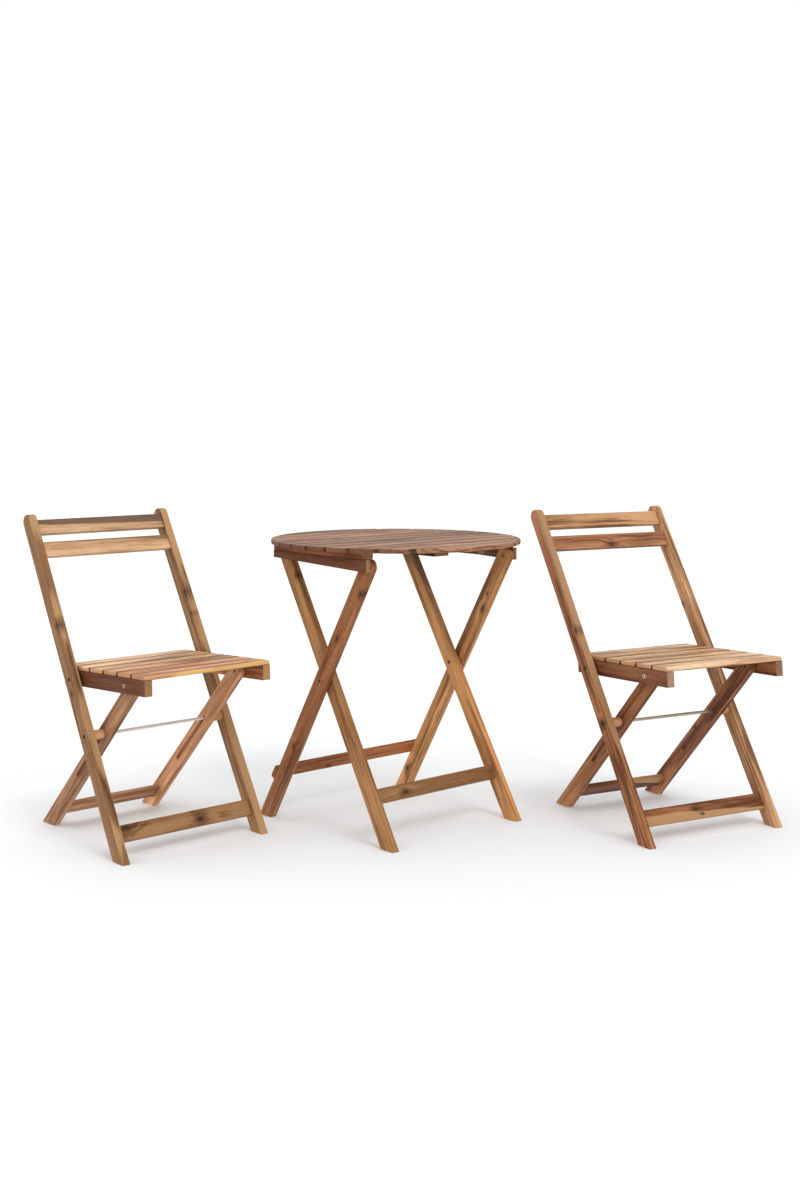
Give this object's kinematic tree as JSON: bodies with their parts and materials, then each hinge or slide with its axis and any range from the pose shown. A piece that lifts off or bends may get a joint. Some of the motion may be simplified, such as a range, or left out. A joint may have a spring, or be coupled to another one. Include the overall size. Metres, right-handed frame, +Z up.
{
  "type": "patio dining set",
  "caption": "Outdoor dining set in slatted acacia: a round folding table on crossed legs, with a folding armless chair on either side.",
  "frame": {"origin": "on the floor, under the middle of the set's box; the table's middle is 12 mm to the left of it and 79 mm behind it", "axes": "+Z is up; -Y is the front, which the table's pivot side and both chairs face; +X is to the right seen from the front. The table is square to the axes and the left chair nearly so, turned 0.2 degrees; the right chair is turned 13.1 degrees the other way, its front towards the table"},
  "size_m": [1.6244, 1.4126, 0.8197],
  "materials": {
    "acacia_tan": "oiled acacia, tan heartwood with pale sapwood streaks",
    "acacia_red_brown": "oiled acacia, red-brown heartwood",
    "acacia_grey_brown": "oiled acacia, greyish pink-brown, satin",
    "acacia_olive": "oiled acacia, dark olive-brown",
    "pale_dowel": "pale bare hardwood",
    "rod_metal": "yellow-passivated steel rod"
  },
  "bodies": {
    "table_outer_frame": {"table_outer_leg_left": "acacia_red_brown", "table_outer_leg_right": "acacia_red_brown", "table_outer_crossbar": "acacia_red_brown"},
    "table_inner_frame": {"table_inner_leg_left": "acacia_tan", "table_inner_leg_right": "acacia_tan", "table_inner_crossbar": "acacia_olive"},
    "tabletop": {"table_top_slat_01": "acacia_grey_brown", "table_top_slat_02": "acacia_grey_brown", "table_top_slat_03": "acacia_grey_brown", "table_top_slat_04": "acacia_grey_brown", "table_top_slat_05": "acacia_grey_brown", "table_top_slat_06": "acacia_grey_brown", "table_top_slat_07": "acacia_grey_brown", "table_top_slat_08": "acacia_grey_brown", "table_top_slat_09": "acacia_grey_brown", "table_top_slat_10": "acacia_grey_brown", "table_top_slat_11": "acacia_grey_brown", "table_batten_left": "acacia_olive", "table_batten_centre": "acacia_tan", "table_batten_right": "acacia_olive", "table_rail_left": "acacia_red_brown", "table_rail_right": "acacia_red_brown"},
    "left_chair_frame": {"left_chair_post_left": "acacia_tan", "left_chair_post_right": "acacia_tan", "left_chair_back_slat_top": "acacia_tan", "left_chair_back_slat_lower": "acacia_tan", "left_chair_front_stretcher": "acacia_tan", "left_chair_crossing_rod": "rod_metal", "left_chair_spacer_left": "pale_dowel", "left_chair_spacer_right": "pale_dowel"},
    "left_chair_seat": {"left_chair_seat_rail_left": "acacia_red_brown", "left_chair_seat_rail_right": "acacia_red_brown", "left_chair_seat_slat_1": "acacia_tan", "left_chair_seat_slat_2": "acacia_tan", "left_chair_seat_slat_3": "acacia_tan", "left_chair_seat_slat_4": "acacia_tan", "left_chair_seat_slat_5": "acacia_tan", "left_chair_seat_slat_6": "acacia_tan"},
    "left_chair_rear_legs": {"left_chair_rear_leg_left": "acacia_red_brown", "left_chair_rear_leg_right": "acacia_red_brown", "left_chair_rear_stretcher": "acacia_tan"},
    "right_chair_frame": {"right_chair_post_left": "acacia_tan", "right_chair_post_right": "acacia_tan", "right_chair_back_slat_top": "acacia_tan", "right_chair_back_slat_lower": "acacia_tan", "right_chair_front_stretcher": "acacia_tan", "right_chair_crossing_rod": "rod_metal", "right_chair_spacer_left": "pale_dowel", "right_chair_spacer_right": "pale_dowel"},
    "right_chair_seat": {"right_chair_seat_rail_left": "acacia_red_brown", "right_chair_seat_rail_right": "acacia_red_brown", "right_chair_seat_slat_1": "acacia_tan", "right_chair_seat_slat_2": "acacia_tan", "right_chair_seat_slat_3": "acacia_tan", "right_chair_seat_slat_4": "acacia_tan", "right_chair_seat_slat_5": "acacia_tan", "right_chair_seat_slat_6": "acacia_tan"},
    "right_chair_rear_legs": {"right_chair_rear_leg_left": "acacia_red_brown", "right_chair_rear_leg_right": "acacia_red_brown", "right_chair_rear_stretcher": "acacia_tan"}
  },
  "joints": [
    {"name": "tabletop_tilt", "type": "hinge", "parent": "table_outer_frame", "child": "tabletop", "pos_m": [-0.01224, -0.09798, 0.702], "axis": [1, 0, 0], "range_deg": [0, 90]},
    {"name": "table_legs_close", "type": "hinge", "parent": "table_outer_frame", "child": "table_inner_frame", "pos_m": [-0.01224, 0.08903, 0.392], "axis": [1, 0, 0], "range_deg": [0, 62.2]},
    {"name": "left_chair_pull_out", "type": "slide", "parent": "table_outer_frame", "child": "left_chair_frame", "axis": [-1, 0, 0], "range_m": [0, 0.35]},
    {"name": "left_chair_seat_fold", "type": "hinge", "parent": "left_chair_frame", "child": "left_chair_seat", "pos_m": [-0.59133, 0.44933, 0.4095], "axis": [-1, -0.0035, 0], "range_deg": [0, 118]},
    {"name": "left_chair_rear_legs_fold", "type": "hinge", "parent": "left_chair_seat", "child": "left_chair_rear_legs", "pos_m": [-0.59057, 0.23035, 0.41925], "axis": [1, 0.0035, 0], "range_deg": [0, 42.61]},
    {"name": "right_chair_pull_out", "type": "slide", "parent": "table_outer_frame", "child": "right_chair_frame", "axis": [1, 0, 0], "range_m": [0, 0.35]},
    {"name": "right_chair_seat_fold", "type": "hinge", "parent": "right_chair_frame", "child": "right_chair_seat", "pos_m": [0.53988, -0.35587, 0.4095], "axis": [-0.974, 0.2267, 0], "range_deg": [0, 118]},
    {"name": "right_chair_rear_legs_fold", "type": "hinge", "parent": "right_chair_seat", "child": "right_chair_rear_legs", "pos_m": [0.49025, -0.56916, 0.41925], "axis": [0.974, -0.2267, 0], "range_deg": [0, 42.61]}
  ],
  "couplings": [
    {"joint": "table_legs_close", "follows": "tabletop_tilt", "ratio": 0.6911},
    {"joint": "left_chair_rear_legs_fold", "follows": "left_chair_seat_fold", "ratio": 0.3611},
    {"joint": "right_chair_rear_legs_fold", "follows": "right_chair_seat_fold", "ratio": 0.3611}
  ]
}
